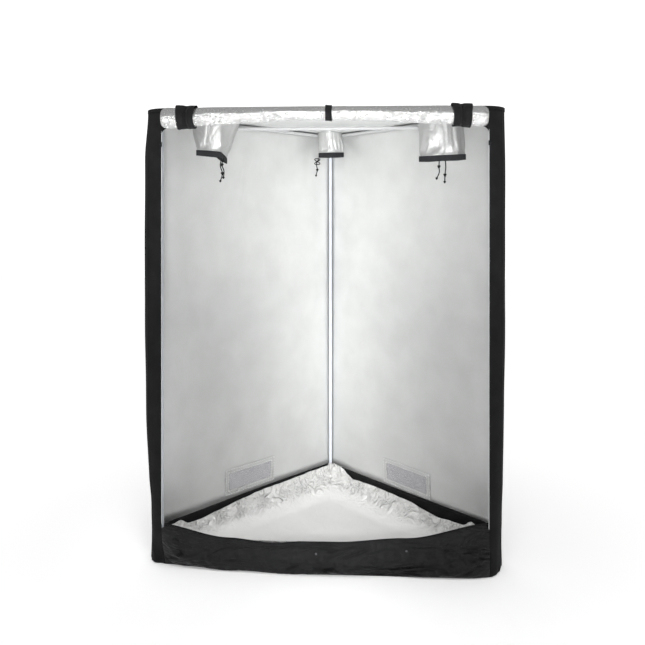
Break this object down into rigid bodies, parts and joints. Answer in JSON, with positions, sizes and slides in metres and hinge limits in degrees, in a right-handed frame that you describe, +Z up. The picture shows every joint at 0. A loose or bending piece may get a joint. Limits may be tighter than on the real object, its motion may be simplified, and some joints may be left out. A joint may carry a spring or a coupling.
{
  "type": "grow tent",
  "caption": "Corner-fitting fabric tent on a tube frame: two silver-lined walls at a right angle, a rolled-up door, duct sleeves, mesh vents and a loose floor tray.",
  "frame": {"origin": "centre of the footprint, on the floor", "axes": "+Z up, the open door faces -Y, +X to the right seen from the door, the back corner at +Y"},
  "size_m": [1.42, 0.9232, 1.8],
  "materials": {
    "black_cloth": "matt black woven polyester",
    "silver_cloth": "crinkled reflective film laminated to cloth",
    "mesh_cloth": "black woven mesh",
    "cuff_webbing": "black hem tape, ribbed",
    "webbing": "black woven webbing",
    "cord": "black braided cord",
    "tray_cloth": "pale waterproof coated cloth",
    "white_steel": "white powder coat on steel tube",
    "connector_plastic": "moulded, satin",
    "zip_metal": "black lacquered die casting",
    "stud_metal": "pressed steel"
  },
  "bodies": {
    "tent": {"floor_panel": "black_cloth", "base_band_left": "black_cloth", "base_band_right": "black_cloth", "corner_strip_left": "black_cloth", "corner_strip_right": "black_cloth", "front_sill": "black_cloth", "door_header": "black_cloth", "wall_left": "silver_cloth", "wall_right": "silver_cloth", "ceiling_panel": "silver_cloth", "vent_mesh_left": "mesh_cloth", "vent_mesh_right": "mesh_cloth", "vent_frame_left": "silver_cloth", "vent_frame_right": "silver_cloth", "duct_sleeve_left": "silver_cloth", "duct_cuff_left": "cuff_webbing", "duct_sleeve_right": "silver_cloth", "duct_cuff_right": "cuff_webbing", "duct_sleeve_back": "silver_cloth", "duct_cuff_back": "cuff_webbing", "drawcord_left_a": "cord", "drawcord_left_b": "cord", "drawcord_right_a": "cord", "drawcord_right_b": "cord", "drawcord_back": "cord", "door_roll": "silver_cloth", "roll_strap_left": "webbing", "roll_strap_centre": "webbing", "roll_strap_right": "webbing", "zip_tape_bottom": "webbing", "zip_tape_left": "webbing", "zip_tape_right": "webbing", "post_back_lower": "white_steel", "post_back_upper": "white_steel", "post_left_lower": "white_steel", "post_left_upper": "white_steel", "post_right_lower": "white_steel", "post_right_upper": "white_steel", "wall_rail_bottom_left": "white_steel", "wall_rail_bottom_right": "white_steel", "front_rail_bottom": "white_steel", "connector_back_bottom": "connector_plastic", "connector_bottom_left": "connector_plastic", "connector_bottom_right": "connector_plastic", "wall_rail_top_left": "white_steel", "wall_rail_top_right": "white_steel", "front_rail_top": "white_steel", "connector_back_top": "connector_plastic", "connector_top_left": "connector_plastic", "connector_top_right": "connector_plastic", "hang_bar": "white_steel", "lip_stud_left": "stud_metal", "lip_stud_right": "stud_metal"},
    "slider_left": {"zip_slider_left": "zip_metal"},
    "slider_right": {"zip_slider_right": "zip_metal"},
    "pull_left": {"zip_pull_left": "zip_metal"},
    "pull_right": {"zip_pull_right": "zip_metal"},
    "vent_flap_left": {"vent_flap_left": "black_cloth"},
    "vent_flap_right": {"vent_flap_right": "black_cloth"},
    "spill_tray": {"spill_tray": "tray_cloth"}
  },
  "joints": [
    {"name": "slider_left_travel", "type": "slide", "parent": "tent", "child": "slider_left", "axis": [0, 0, 1], "range_m": [-1.46, 0]},
    {"name": "slider_right_travel", "type": "slide", "parent": "tent", "child": "slider_right", "axis": [0, 0, 1], "range_m": [-1.46, 0]},
    {"name": "pull_left_swing", "type": "hinge", "parent": "slider_left", "child": "pull_left", "pos_m": [-0.63743, -0.37956, 1.659], "axis": [-0.9801, 0.1986, 0], "range_deg": [0, 165]},
    {"name": "pull_right_swing", "type": "hinge", "parent": "slider_right", "child": "pull_right", "pos_m": [0.63743, -0.37956, 1.659], "axis": [-0.9801, -0.1986, 0], "range_deg": [0, 165]},
    {"name": "vent_flap_left_fold", "type": "hinge", "parent": "tent", "child": "vent_flap_left", "pos_m": [-0.36289, 0.10187, 0.135], "axis": [0.7071, 0.7071, 0], "range_deg": [0, 180]},
    {"name": "vent_flap_right_fold", "type": "hinge", "parent": "tent", "child": "vent_flap_right", "pos_m": [0.36289, 0.10187, 0.135], "axis": [0.7071, -0.7071, 0], "range_deg": [0, 180]},
    {"name": "tray_lift", "type": "slide", "parent": "tent", "child": "spill_tray", "axis": [0, 0, 1], "range_m": [0, 0.15]}
  ]
}
